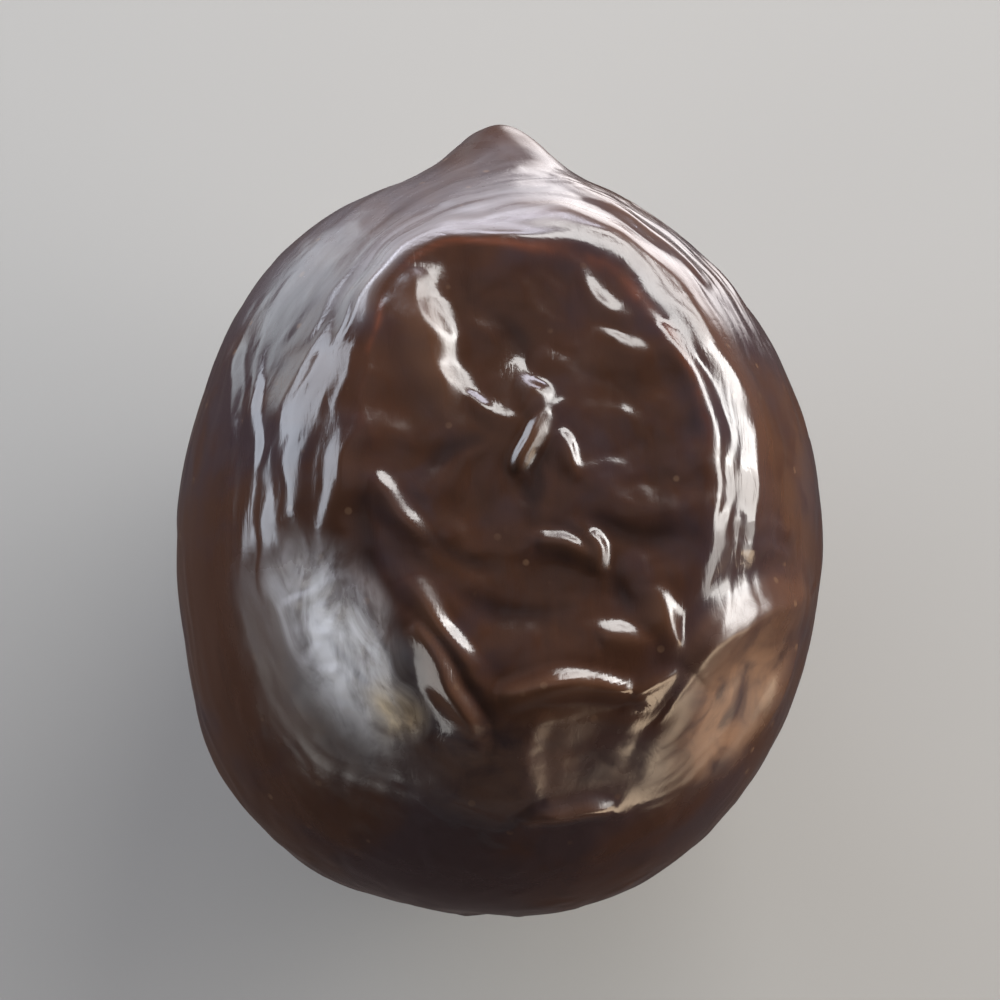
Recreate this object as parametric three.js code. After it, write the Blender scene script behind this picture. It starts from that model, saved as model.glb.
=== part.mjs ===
// A dry-cured black olive, whole, lying on its side: one fruit, one closed solid.
// Millimetres. +Y runs to the pointed tip, +Z is up, and the fruit rests on a small flat spot at z = 0.
// The body is an ellipsoid, a little narrower towards the tip. Its skin is raised or lowered along the
// normal by the tip, the stem pit, the hollows where the flesh has shrunk away, and the folds of loose
// skin that cross them.

import * as THREE from "three";
import { mergeVertices } from "three/addons/utils/BufferGeometryUtils.js";

// The body without its tip
const BODY_WIDTH = 19.3;
const BODY_LENGTH = 22.8;
const BODY_THICKNESS = 18.2;
const NARROWING = 0.035;
const HALF_AXES = new THREE.Vector3(BODY_WIDTH, BODY_LENGTH, BODY_THICKNESS).multiplyScalar(0.5);

// The flat spot it rests on, and how softly the skin eases into it
const FLAT_SPOT_DEPTH = 0.22;
const FLAT_SPOT_EDGE = 0.1;

// The creased face looks up, and leans this far towards the stem end
const FACE_LEAN = THREE.MathUtils.degToRad(8);
const FACE_RIGHT = new THREE.Vector3(1, 0, 0);
const FACE_UP = new THREE.Vector3(0, Math.cos(FACE_LEAN), Math.sin(FACE_LEAN));
const FACE_OUT = new THREE.Vector3(0, -Math.sin(FACE_LEAN), Math.cos(FACE_LEAN));

// The pointed tip at the +Y end
const TIP_HEIGHT = 1.35;
const TIP_RADIUS = 1.65;

// The round pit at the -Y end, where the stalk has come off, turned a little downwards
const PIT_DEPTH = 0.8;
const PIT_RADIUS = 1.15;
const PIT_LIP_HEIGHT = 0.16;
const PIT_LIP_WIDTH = 0.5;
const PIT_WAVER = 0.12;
const PIT_WAVER_START = 0.7;
const GATHERS = 9;
const GATHER_HEIGHT = 0.07;
const GATHERED_FROM = 2.1;
const GATHERED_WIDTH = 1.0;
const STEM_DIP_DEPTH = 0.45;
const STEM_DIP_RADIUS = 3.4;
const STEM_LEAN = THREE.MathUtils.degToRad(16);

// The skin's net of triangles, crowded towards the creased face, the tip and the pit
const NET_DETAIL = 23;
const CROWDING_UP = 0.18;
const CROWDING_TO_ENDS = 1.2;

// The body's point straight out from the centre through the given one.
function onBody(point) {
  return point.divide(HALF_AXES).normalize().multiply(HALF_AXES);
}

// The body's point that is seen x to the right and y up from the middle of the creased face.
function onFace(x, y) {
  const across = FACE_RIGHT.clone().multiplyScalar(x).addScaledVector(FACE_UP, y).divide(HALF_AXES);
  const outwards = FACE_OUT.clone().divide(HALF_AXES);
  const slope = across.dot(outwards);
  const steepness = outwards.lengthSq();
  const room = Math.max(slope ** 2 - steepness * (across.lengthSq() - 1), 0);
  return onBody(across.addScaledVector(outwards, (Math.sqrt(room) - slope) / steepness).multiply(HALF_AXES));
}

// The body's point at that angle round the axis, 0 on top and 90 at +X, and that place along it.
function roundAxis(degrees, y) {
  const angle = THREE.MathUtils.degToRad(degrees);
  const girth = Math.sqrt(1 - (y / HALF_AXES.y) ** 2);
  return new THREE.Vector3(Math.sin(angle) * girth, 0, Math.cos(angle) * girth).multiply(HALF_AXES).setY(y);
}

function normalAt(point) {
  return point.clone().divide(HALF_AXES).divide(HALF_AXES).normalize();
}

// The small sideways drift that keeps rims and folds from running true.
const SLOW_DRIFT = 0.16;
const SLOW_PITCH = 1.3;
const QUICK_DRIFT = 0.06;
const QUICK_PITCH = 3.7;
const SLOW_STARTS = new THREE.Vector3(0.3, 1.7, 4.1);
const QUICK_STARTS = new THREE.Vector3(2.2, 5.1, 0.9);

function wander({ x, y, z }) {
  const slow = (value, start) => SLOW_DRIFT * Math.sin(SLOW_PITCH * value + start);
  const quick = (value, start) => QUICK_DRIFT * Math.sin(QUICK_PITCH * value + start);
  return new THREE.Vector3(
    x + slow(z, SLOW_STARTS.x) + quick(y, QUICK_STARTS.x),
    y + slow(x, SLOW_STARTS.y) + quick(z, QUICK_STARTS.y),
    z + slow(y, SLOW_STARTS.z) + quick(x, QUICK_STARTS.z),
  );
}

// Zero well below zero, the value itself well above it, and a smooth bend between the two.
function softRamp(value) {
  return Math.max(value, 0) + Math.log1p(Math.exp(-Math.abs(value)));
}

// A hollow is an oval of skin that has sunk towards flat. Its rim is tighter on one side, given as an
// angle from its length.
function hollow(at, { length, width, turn, depth, softness, waver = 0.06, tight = 0, tightSide = 0 }) {
  const normal = normalAt(at);
  const lengthwise = new THREE.Vector3(0, 1, 0).projectOnPlane(normal).normalize();
  const along = lengthwise.clone().applyAxisAngle(normal, THREE.MathUtils.degToRad(-turn));
  const across = along.clone().cross(normal);
  return {
    at, normal, along, across, depth, softness, waver, tight,
    halfLength: length / 2, halfWidth: width / 2, tightSide: THREE.MathUtils.degToRad(tightSide),
  };
}

const HOLLOWS = [
  // The large hollow of the creased face, with its corner on the left of the tip
  hollow(onFace(1.25, 2.7), {
    length: 14.0, width: 11.8, turn: 4, depth: 1.55, softness: 0.11, waver: 0.05, tight: 0.55, tightSide: 50,
  }),
  hollow(onFace(-1.2, 6.6), {
    length: 7.0, width: 5.6, turn: 49, depth: 0.42, softness: 0.28, waver: 0.05, tight: 0.65, tightSide: -90,
  }),
  hollow(onFace(0.9, 7.8), {
    length: 4.4, width: 7.4, turn: 0, depth: 0.26, softness: 0.3, waver: 0.05, tight: 0.6, tightSide: 0,
  }),
  hollow(onFace(-2.3, 5.4), { length: 8.6, width: 4.0, turn: 8, depth: 0.30, softness: 0.3 }),
  hollow(onFace(4.5, 4.4), { length: 5.6, width: 4.0, turn: -14, depth: 0.14, softness: 0.3 }),
  hollow(onFace(1.6, -1.6), { length: 4.0, width: 5.4, turn: 20, depth: 0.26, softness: 0.3 }),
  hollow(onFace(-0.6, 1.6), { length: 3.6, width: 3.0, turn: -30, depth: 0.16, softness: 0.3 }),
  hollow(onFace(3.0, -6.0), { length: 4.4, width: 4.6, turn: -12, depth: 0.24, softness: 0.25 }),
  hollow(onFace(7.1, -4.9), { length: 5.0, width: 3.2, turn: 24, depth: 0.24, softness: 0.25 }),
  // The flanks and the hidden underside
  hollow(onFace(-5.2, -2.8), { length: 6.6, width: 2.8, turn: -22, depth: 0.16, softness: 0.4 }),
  hollow(onFace(-3.6, -7.0), { length: 5.0, width: 5.6, turn: -50, depth: 0.24, softness: 0.35 }),
  hollow(roundAxis(112, 2.5), { length: 11.5, width: 5.6, turn: -10, depth: 0.6, softness: 0.25 }),
  hollow(roundAxis(142, -4.5), { length: 8.0, width: 4.6, turn: 16, depth: 0.5, softness: 0.25 }),
  hollow(roundAxis(-112, -2.0), { length: 11.0, width: 5.0, turn: 12, depth: 0.5, softness: 0.3 }),
  hollow(roundAxis(-142, 4.2), { length: 8.5, width: 5.0, turn: -12, depth: 0.6, softness: 0.22 }),
  hollow(roundAxis(176, 7.4), { length: 4.6, width: 6.0, turn: 0, depth: 0.4, softness: 0.25 }),
  hollow(roundAxis(-166, -7.6), { length: 4.6, width: 5.0, turn: 0, depth: 0.35, softness: 0.25 }),
  // Where the left flank is fuller instead, on both sides of its middle
  hollow(roundAxis(-84, 8.7), { length: 7.0, width: 7.0, turn: 0, depth: -0.32, softness: 0.5 }),
  hollow(roundAxis(-98, -7.2), { length: 9.0, width: 8.0, turn: 0, depth: -0.52, softness: 0.5 }),
];

function hollowRelief(point, h) {
  const offset = point.clone().sub(h.at);
  const along = offset.dot(h.along) / h.halfLength;
  const across = offset.dot(h.across) / h.halfWidth;
  const through = offset.dot(h.normal) / h.halfWidth;
  const angle = Math.atan2(across, along);
  const lobes = 1 + h.waver * (Math.cos(2 * angle + 4 * h.at.x) + Math.cos(3 * angle + 4 * h.at.y));
  const nearness = 1 - (along ** 2 + across ** 2 + through ** 2) / lobes ** 2;
  const softness = h.softness * (1 - h.tight * Math.cos(angle - h.tightSide));
  return -h.depth * softness * softRamp(nearness / softness);
}

// The body's point whose sunken skin is seen x to the right and y up from the middle of the creased face.
const SEARCH_STEPS = 5;

function onSunkenFace(x, y) {
  let guess = [x, y];
  for (let step = 0; step < SEARCH_STEPS; step += 1) {
    const point = onFace(...guess);
    const adrift = wander(point);
    const relief = HOLLOWS.reduce((sum, one) => sum + hollowRelief(adrift, one), 0);
    const skin = point.clone().addScaledVector(normalAt(point), relief);
    guess = [guess[0] + x - skin.dot(FACE_RIGHT), guess[1] + y - skin.dot(FACE_UP)];
  }
  return onFace(...guess);
}

// A fold is a crest of loose skin through three points, easy on its right hand and steep on its left. It
// tapers to both ends.
const FOLD_STEPS = 16;
const END_SHARE = 0.02;
const BLUNTNESS = 0.45;
const STEEP_SIDE = 0.75;
const GENTLE_SIDE = 1.3;
const CREST_RADIUS = 0.3;
const FOOT_SOFTNESS = 0.16;
const DIP_WIDTH = 1.3;
const DIP_SHARE = 0.25;
const DIP_REACH = 5 * DIP_WIDTH;

function fold([start, middle, end], height, width, bluntness = BLUNTNESS) {
  const bend = middle.clone().multiplyScalar(2).addScaledVector(start, -0.5).addScaledVector(end, -0.5);
  const path = new THREE.QuadraticBezierCurve3(start, bend, end).getPoints(FOLD_STEPS).map(onBody);
  const centre = path[FOLD_STEPS / 2];
  const spread = Math.max(...path.map((point) => point.distanceTo(centre)));
  return { path, centre, spread, height, width, bluntness };
}

// The folds of the creased face, each [start, middle, end, height, width], some with a bluntness of their own
const FACE_FOLDS = [
  // Round the rim of the large hollow, on both sides of the tip
  [[-4.7, 6.1], [-3.25, 8.25], [-1.0, 9.75], 0.2, 0.7],
  [[-5.0, 0.4], [-4.8, 2.2], [-4.4, 3.6], 0.2, 0.7],
  [[-5.9, 0.2], [-6.3, 3.0], [-5.6, 6.0], 0.16, 1.0],
  [[7.6, -0.6], [6.0, 6.7], [-0.6, 10.2], 0.4, 1.3],
  [[6.3, 2.4], [5.8, 4.7], [4.7, 6.8], 0.17, 0.7],
  [[6.4, 7.5], [4.3, 9.4], [1.9, 10.9], 0.28, 0.8],
  // The creased floor of the large hollow
  [[-2.55, 8.35], [-2.1, 5.8], [-1.3, 2.7], 0.4, 1.05, 1.05],
  [[-1.9, 4.75], [-0.6, 4.15], [0.7, 3.55], 0.14, 0.42],
  [[0.25, 4.95], [0.95, 4.4], [1.1, 3.6], 0.225, 0.6, 0.8],
  [[0.6, 2.2], [0.7, 3.0], [1.4, 3.9], 0.32, 0.46],
  [[1.5, 3.25], [1.95, 2.5], [2.35, 1.7], 0.195, 0.47],
  [[2.0, 2.0], [3.9, 1.4], [6.0, 1.3], 0.13, 0.9],
  [[2.4, 8.0], [2.85, 7.2], [3.7, 6.7], 0.145, 0.52],
  [[2.3, 6.65], [3.5, 6.15], [4.8, 5.8], 0.105, 0.42],
  [[2.4, 3.8], [3.7, 3.9], [5.0, 3.2], 0.06, 0.5],
  [[0.9, 0.1], [1.8, -0.1], [2.7, -0.6], 0.26, 0.5],
  [[2.45, 0.3], [2.7, -0.25], [2.85, -1.0], 0.27, 0.5],
  // The slanting wrinkles under it, to the left
  [[-4.1, 2.15], [-3.1, 0.92], [-2.15, -0.2], 0.24, 0.45],
  [[-2.8, -1.0], [-1.75, -2.65], [-0.2, -4.4], 0.35, 0.5],
  [[-2.65, -2.4], [-1.65, -4.0], [-0.7, -5.6], 0.52, 0.62],
  // The short folds to the right of them
  [[-0.2, -4.25], [1.9, -4.12], [4.0, -4.15], 0.46, 0.42, 0.3],
  [[3.8, -4.5], [4.5, -4.0], [5.4, -3.6], 0.3, 0.5],
  [[2.7, -2.85], [3.6, -2.65], [4.8, -2.6], 0.28, 0.58],
  [[4.3, -0.9], [4.85, -2.1], [5.6, -3.4], 0.31, 0.62],
  [[5.6, -3.8], [7.1, -2.3], [9.0, -1.35], 0.80, 1.5],
  [[0.7, -8.2], [2.0, -7.9], [3.5, -7.85], 0.5, 0.45],
  [[1.0, -4.6], [0.8, -6.3], [1.0, -7.7], 0.12, 0.7],
  [[4.0, -4.9], [3.6, -5.7], [3.2, -6.4], 0.1, 0.6],
  [[7.0, 0.7], [7.9, 0.5], [8.8, 0.5], 0.16, 0.4],
  [[7.1, -0.1], [8.0, -0.2], [8.9, -0.3], 0.16, 0.4],
  // Soft wrinkles along the flanks
  [[-8.3, 6.0], [-8.0, 4.6], [-7.9, 2.8], 0.12, 0.5],
  [[-7.2, 6.2], [-7.3, 4.4], [-7.0, 2.2], 0.14, 0.5],
  [[-7.4, 0.6], [-7.6, -1.8], [-6.9, -4.4], 0.1, 0.7],
  [[-4.6, -0.4], [-3.6, -2.8], [-2.5, -5.6], 0.18, 0.8],
  [[8.9, -2.4], [8.6, -4.0], [7.8, -5.4], 0.16, 0.6],
  [[7.3, -3.4], [6.7, -5.2], [5.6, -6.8], 0.16, 0.8],
].map(([start, middle, end, ...sizes]) =>
  fold([start, middle, end].map((place) => onSunkenFace(...place)), ...sizes),
);

// The wrinkles round the back: how many, over which angles, how far along the fruit, and their sizes, each
// [least, most]
const HIDDEN_FOLDS = 52;
const HIDDEN_FROM = 78;
const HIDDEN_TO = 282;
const HIDDEN_REACH = HALF_AXES.y - 2.2;
const HIDDEN_JITTER = 0.9;
const HIDDEN_MIDDLES = 15;
const HIDDEN_HALF_LENGTHS = [1.4, 4.8];
const HIDDEN_SLANTS = 26;
const HIDDEN_BOWS = 14;
const HIDDEN_FLANK_HEIGHT = 0.08;
const HIDDEN_HEIGHTS_UNDERNEATH = [0.1, 0.35];
const HIDDEN_WIDTHS = [0.6, 1.2];
const CHANCES = 7;

// An even-looking but repeatable number from 0 to 1.
const DRAW_PITCH = 12.9898;
const DRAW_START = 4.1414;
const DRAW_SPREAD = 43758.5453;

function draw(number) {
  const wave = Math.sin(number * DRAW_PITCH + DRAW_START) * DRAW_SPREAD;
  return wave - Math.floor(wave);
}

// One of the wrinkles round the back, long and low on the flanks, and freer and higher underneath.
function hiddenFold(index) {
  const chance = (k) => draw(index * CHANCES + k);
  const within = ([least, most], k) => least + (most - least) * chance(k);
  const share = (index + 0.5 + HIDDEN_JITTER * (chance(0) - 0.5)) / HIDDEN_FOLDS;
  const degrees = HIDDEN_FROM + (HIDDEN_TO - HIDDEN_FROM) * share;
  const freedom = Math.sin(Math.PI * share);
  const middle = HIDDEN_MIDDLES * (chance(1) - 0.5);
  const reach = within(HIDDEN_HALF_LENGTHS, 2);
  const slant = HIDDEN_SLANTS * (chance(3) - 0.5) * freedom;
  const bow = HIDDEN_BOWS * (chance(4) - 0.5) * freedom;
  const [low, high] = [middle - reach, middle + reach].map((y) =>
    THREE.MathUtils.clamp(y, -HIDDEN_REACH, HIDDEN_REACH),
  );
  const points = [
    roundAxis(degrees - slant, low),
    roundAxis(degrees + bow, middle),
    roundAxis(degrees + slant, high),
  ];
  const height = HIDDEN_FLANK_HEIGHT + within(HIDDEN_HEIGHTS_UNDERNEATH, 5) * freedom;
  return fold(points, height, within(HIDDEN_WIDTHS, 6));
}

const FOLDS = [...FACE_FOLDS, ...Array.from({ length: HIDDEN_FOLDS }, (_, index) => hiddenFold(index))];

// How far a fold lifts the skin at a point, and how far the skin beside it dips.
function foldRelief(point, normal, { path, centre, spread, height, width, bluntness }) {
  if (point.distanceTo(centre) > spread + DIP_REACH * width) return { lift: 0, dip: 0 };
  let nearest = { distance: Infinity };
  const spot = new THREE.Vector3();
  for (let step = 0; step < FOLD_STEPS; step += 1) {
    const piece = new THREE.Line3(path[step], path[step + 1]);
    const share = piece.closestPointToPointParameter(point, true);
    const distance = piece.at(share, spot).distanceTo(point);
    if (distance < nearest.distance) nearest = { distance, piece, along: (step + share) / FOLD_STEPS };
  }
  const ahead = nearest.piece.delta(new THREE.Vector3());
  const side = point.clone().sub(nearest.piece.start).cross(ahead).dot(normal);
  const reach = width * (side > 0 ? GENTLE_SIDE : STEEP_SIDE);
  const along = THREE.MathUtils.clamp(nearest.along, END_SHARE, 1 - END_SHARE);
  const taper = Math.sin(Math.PI * along) ** bluntness;
  const away = Math.hypot(nearest.distance, CREST_RADIUS) - CREST_RADIUS;
  return {
    lift: height * taper * FOOT_SOFTNESS * softRamp((1 - away / reach) / FOOT_SOFTNESS),
    dip: height * taper * Math.exp(-((nearest.distance / (DIP_WIDTH * reach)) ** 2)),
  };
}

// Where folds meet, the skin rises about as far as the higher one, and not as far as their sum.
const MEETING = 4;

function allFolds(point, normal) {
  const sum = { lift: 0, dip: 0 };
  for (const one of FOLDS) {
    const { lift, dip } = foldRelief(point, normal, one);
    sum.lift += lift ** MEETING;
    sum.dip += dip ** MEETING;
  }
  return sum.lift ** (1 / MEETING) - DIP_SHARE * sum.dip ** (1 / MEETING);
}

const STEM = onBody(new THREE.Vector3(0, -Math.cos(STEM_LEAN), -Math.sin(STEM_LEAN)));

function endRelief(point, adrift) {
  if (point.y > 0) return TIP_HEIGHT * Math.exp(-((Math.hypot(point.x, point.z) / TIP_RADIUS) ** 2));
  const round = Math.atan2(adrift.z - STEM.z, adrift.x);
  const fromStem = adrift.distanceTo(STEM) * (1 + PIT_WAVER * Math.sin(2 * round + PIT_WAVER_START));
  const lip = Math.exp(-(((fromStem - PIT_RADIUS - PIT_LIP_WIDTH) / PIT_LIP_WIDTH) ** 2));
  const pit = Math.exp(-((fromStem / PIT_RADIUS) ** 3));
  const dip = Math.exp(-((fromStem / STEM_DIP_RADIUS) ** 2));
  const gathered = Math.exp(-(((fromStem - GATHERED_FROM) / GATHERED_WIDTH) ** 2));
  const gathers = GATHER_HEIGHT * Math.cos(GATHERS * round + Math.sin(2 * round)) * gathered;
  return PIT_LIP_HEIGHT * lip - PIT_DEPTH * pit - STEM_DIP_DEPTH * dip + gathers;
}

// A height that is eased onto the flat spot.
function easedOnFlat(height) {
  const floor = FLAT_SPOT_DEPTH - HALF_AXES.z;
  const over = height - floor;
  if (over >= FLAT_SPOT_EDGE) return height;
  return floor + Math.max(over + FLAT_SPOT_EDGE, 0) ** 2 / (4 * FLAT_SPOT_EDGE);
}

// The finished skin in the direction given from the fruit's centre.
function skinPoint(direction) {
  const point = direction.clone().multiply(HALF_AXES);
  const normal = normalAt(point);
  const adrift = wander(point);
  let relief = allFolds(adrift, normal) + endRelief(point, adrift);
  for (const one of HOLLOWS) relief += hollowRelief(adrift, one);
  const narrowed = 1 - NARROWING * (Math.max(point.y, 0) / HALF_AXES.y) ** 2;
  point.x *= narrowed;
  point.z *= narrowed;
  point.addScaledVector(normal, relief);
  return point.setZ(easedOnFlat(point.z));
}

function oliveGeometry() {
  const sphere = new THREE.IcosahedronGeometry(1, NET_DETAIL).deleteAttribute("normal").deleteAttribute("uv");
  const net = mergeVertices(sphere);
  const position = net.getAttribute("position");
  const direction = new THREE.Vector3();
  for (let index = 0; index < position.count; index += 1) {
    direction.fromBufferAttribute(position, index);
    direction.y *= CROWDING_TO_ENDS;
    direction.normalize();
    direction.z += CROWDING_UP;
    position.setXYZ(index, ...skinPoint(direction.normalize()));
  }
  net.computeBoundingBox();
  const middle = net.boundingBox.getCenter(new THREE.Vector3());
  net.translate(-middle.x, -middle.y, -net.boundingBox.min.z);
  net.computeVertexNormals();
  return net;
}

const skin = new THREE.MeshStandardMaterial({ color: 0x33211b, roughness: 0.25, metalness: 0 });

const olive = new THREE.Mesh(oliveGeometry(), skin);
olive.name = "olive";

const blackOlive = new THREE.Group();
blackOlive.add(olive);

export default blackOlive;
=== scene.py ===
import bmesh
import bpy
import math
import numpy as np
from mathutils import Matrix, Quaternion, Vector


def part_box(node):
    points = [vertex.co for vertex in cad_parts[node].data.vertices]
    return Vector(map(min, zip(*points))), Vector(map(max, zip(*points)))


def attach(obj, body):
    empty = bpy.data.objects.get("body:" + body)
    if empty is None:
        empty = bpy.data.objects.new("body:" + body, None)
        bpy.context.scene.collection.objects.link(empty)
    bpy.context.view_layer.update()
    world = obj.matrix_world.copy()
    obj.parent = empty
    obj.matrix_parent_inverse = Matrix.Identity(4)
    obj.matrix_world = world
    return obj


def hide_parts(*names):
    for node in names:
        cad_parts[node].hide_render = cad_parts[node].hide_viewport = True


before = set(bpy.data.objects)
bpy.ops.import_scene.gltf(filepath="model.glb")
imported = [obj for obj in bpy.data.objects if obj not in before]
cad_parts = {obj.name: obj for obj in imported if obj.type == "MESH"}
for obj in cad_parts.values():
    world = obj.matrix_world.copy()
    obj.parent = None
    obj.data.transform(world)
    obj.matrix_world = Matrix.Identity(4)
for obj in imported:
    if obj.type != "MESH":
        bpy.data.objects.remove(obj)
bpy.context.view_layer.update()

# The olive: a ripe fruit, cured dry in salt, so that its flesh has shrunk and its oily skin has sunk into
# hollows and gathered in folds. Skin, flesh and stone grew as one piece, which lies loose on its side.
# Its form is worked out in millimetres from an egg-shaped body, and set into the room that the frame gives.

MILLIMETRE = 0.001
BODY_WIDTH = 19.3
BODY_LENGTH = 22.8
BODY_THICKNESS = 18.2
NARROWING = 0.035
FLAT_SPOT_DEPTH = 0.22
FLAT_SPOT_EDGE = 0.10
HALF_AXES = np.array([BODY_WIDTH, BODY_LENGTH, BODY_THICKNESS]) / 2

# The creased face looks up, and leans this far towards the stem end
FACE_LEAN = math.radians(8)
FACE_RIGHT = np.array([1.0, 0.0, 0.0])
FACE_UP = np.array([0.0, math.cos(FACE_LEAN), math.sin(FACE_LEAN)])
FACE_OUT = np.array([0.0, -math.sin(FACE_LEAN), math.cos(FACE_LEAN)])

# The pointed tip, and the pit that the stalk left at the other end, turned a little downwards
TIP_HEIGHT = 1.35
TIP_RADIUS = 1.65
PIT_DEPTH = 0.8
PIT_RADIUS = 1.15
PIT_LIP_HEIGHT = 0.16
PIT_LIP_WIDTH = 0.5
PIT_WAVER = 0.12
PIT_WAVER_START = 0.7
GATHERS = 9
GATHER_HEIGHT = 0.07
GATHERED_FROM = 2.1
GATHERED_WIDTH = 1.0
STEM_DIP_DEPTH = 0.45
STEM_DIP_RADIUS = 3.4
STEM_LEAN = math.radians(16)


def unit(vectors):
    return vectors / np.linalg.norm(vectors, axis=-1, keepdims=True)


def body_normal(points):
    return unit(points / HALF_AXES**2)


def on_body(points):
    return unit(points / HALF_AXES) * HALF_AXES


def on_face(x, y):
    """The body's point that is seen x to the right and y up from the middle of the creased face."""
    across = (x * FACE_RIGHT + y * FACE_UP) / HALF_AXES
    outwards = FACE_OUT / HALF_AXES
    slope = across @ outwards
    steepness = outwards @ outwards
    room = max(slope**2 - steepness * (across @ across - 1), 0)
    return on_body((across + outwards * (math.sqrt(room) - slope) / steepness) * HALF_AXES)


def round_axis(degrees, y):
    """The body's point at that angle round the axis, 0 on top and 90 to the right, and that far along it."""
    angle = math.radians(degrees)
    girth = math.sqrt(1 - (y / HALF_AXES[1]) ** 2)
    return np.array([math.sin(angle) * girth * HALF_AXES[0], y, math.cos(angle) * girth * HALF_AXES[2]])


# How far rims and folds stray from a true line, in slow swings and in quick ones
SLOW_DRIFT = 0.16
SLOW_PITCH = 1.3
SLOW_STARTS = [0.3, 1.7, 4.1]
QUICK_DRIFT = 0.06
QUICK_PITCH = 3.7
QUICK_STARTS = [2.2, 5.1, 0.9]


def wander(points):
    """The small sideways drift that keeps rims and folds from running true."""
    slow = SLOW_DRIFT * np.sin(SLOW_PITCH * np.roll(points, 1, axis=-1) + SLOW_STARTS)
    quick = QUICK_DRIFT * np.sin(QUICK_PITCH * np.roll(points, 2, axis=-1) + QUICK_STARTS)
    return points + slow + quick


def hollow(at, length, width, turn, depth, softness, waver=0.06, tight=0.0, tight_side=0.0):
    """An oval of skin that has sunk towards flat, or that has swollen where its depth is below zero.

    Its rim is tighter on one side, given as an angle from its length.
    """
    normal = body_normal(at)
    lengthwise = unit(np.array([0.0, 1.0, 0.0]) - normal[1] * normal)
    crosswise = np.cross(lengthwise, normal)
    angle = math.radians(turn)
    along = lengthwise * math.cos(angle) + crosswise * math.sin(angle)
    return dict(at=at, normal=normal, along=along, across=np.cross(along, normal),
                length=length, width=width, depth=depth, softness=softness, waver=waver,
                tight=tight, tight_side=math.radians(tight_side))


# Each hollow's middle, length, width, turn, depth and softness, with the waver and tightness of some rims
HOLLOWS = [
    # The large hollow of the creased face, with its corner on the left of the tip
    hollow(on_face(1.25, 2.7), 14.0, 11.8, 4, 1.55, 0.11, 0.05, 0.55, 50),
    hollow(on_face(-1.2, 6.6), 7.0, 5.6, 49, 0.42, 0.28, 0.05, 0.65, -90),
    hollow(on_face(0.9, 7.8), 4.4, 7.4, 0, 0.26, 0.3, 0.05, 0.6, 0),
    hollow(on_face(-2.3, 5.4), 8.6, 4.0, 8, 0.30, 0.3),
    hollow(on_face(4.5, 4.4), 5.6, 4.0, -14, 0.14, 0.3),
    hollow(on_face(1.6, -1.6), 4.0, 5.4, 20, 0.26, 0.3),
    hollow(on_face(-0.6, 1.6), 3.6, 3.0, -30, 0.16, 0.3),
    hollow(on_face(3.0, -6.0), 4.4, 4.6, -12, 0.24, 0.25),
    hollow(on_face(7.1, -4.9), 5.0, 3.2, 24, 0.24, 0.25),
    # The flanks and the hidden underside
    hollow(on_face(-5.2, -2.8), 6.6, 2.8, -22, 0.16, 0.4),
    hollow(on_face(-3.6, -7.0), 5.0, 5.6, -50, 0.24, 0.35),
    hollow(round_axis(112, 2.5), 11.5, 5.6, -10, 0.6, 0.25),
    hollow(round_axis(142, -4.5), 8.0, 4.6, 16, 0.5, 0.25),
    hollow(round_axis(-112, -2.0), 11.0, 5.0, 12, 0.5, 0.3),
    hollow(round_axis(-142, 4.2), 8.5, 5.0, -12, 0.6, 0.22),
    hollow(round_axis(176, 7.4), 4.6, 6.0, 0, 0.4, 0.25),
    hollow(round_axis(-166, -7.6), 4.6, 5.0, 0, 0.35, 0.25),
    # Where the left flank is fuller instead, on both sides of its middle
    hollow(round_axis(-84, 8.7), 7.0, 7.0, 0, -0.32, 0.5),
    hollow(round_axis(-98, -7.2), 9.0, 8.0, 0, -0.52, 0.5),
]
LOBE_START = 4


def reach_of(points, one):
    """How far out from a hollow's middle the points lie, 1 at its rim, and in which direction."""
    offset = points - one["at"]
    along = offset @ one["along"] / (one["length"] / 2)
    across = offset @ one["across"] / (one["width"] / 2)
    through = offset @ one["normal"] / (one["width"] / 2)
    angle = np.arctan2(across, along)
    two_lobes = np.cos(2 * angle + LOBE_START * one["at"][0])
    three_lobes = np.cos(3 * angle + LOBE_START * one["at"][1])
    lobes = 1 + one["waver"] * (two_lobes + three_lobes)
    return np.sqrt(along**2 + across**2 + through**2) / lobes, angle


def hollow_relief(points, one):
    reach, angle = reach_of(points, one)
    softness = one["softness"] * (1 - one["tight"] * np.cos(angle - one["tight_side"]))
    return -one["depth"] * softness * np.logaddexp(0, (1 - reach**2) / softness)


SEARCH_STEPS = 5


def on_sunken_face(x, y):
    """The body's point whose sunken skin is seen x to the right and y up from the creased face's middle."""
    wanted = np.array([x, y])
    guess = wanted
    for _ in range(SEARCH_STEPS):
        point = on_face(*guess)
        relief = sum(hollow_relief(wander(point), one) for one in HOLLOWS)
        skin = point + body_normal(point) * relief
        guess = guess + wanted - [skin @ FACE_RIGHT, skin @ FACE_UP]
    return on_face(*guess)


# A fold is a crest of loose skin through three points, easy on its right hand and steep on its left
FOLD_STEPS = 16
CREST_RADIUS = 0.10
STEEP_SIDE = 0.75
GENTLE_SIDE = 1.3
FOOT_SOFTNESS = 0.16
BLUNTNESS = 0.45
END_SHARE = 0.02
DIP_WIDTH = 1.3
DIP_SHARE = 0.25
DIP_REACH = 5 * DIP_WIDTH


def fold(points, height, width, bluntness=BLUNTNESS):
    start, middle, end = points
    bend = 2 * middle - (start + end) / 2
    share = np.linspace(0, 1, FOLD_STEPS + 1)[:, None]
    path = on_body((1 - share) ** 2 * start + 2 * share * (1 - share) * bend + share**2 * end)
    return dict(path=path, height=height, width=width, bluntness=bluntness)


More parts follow.
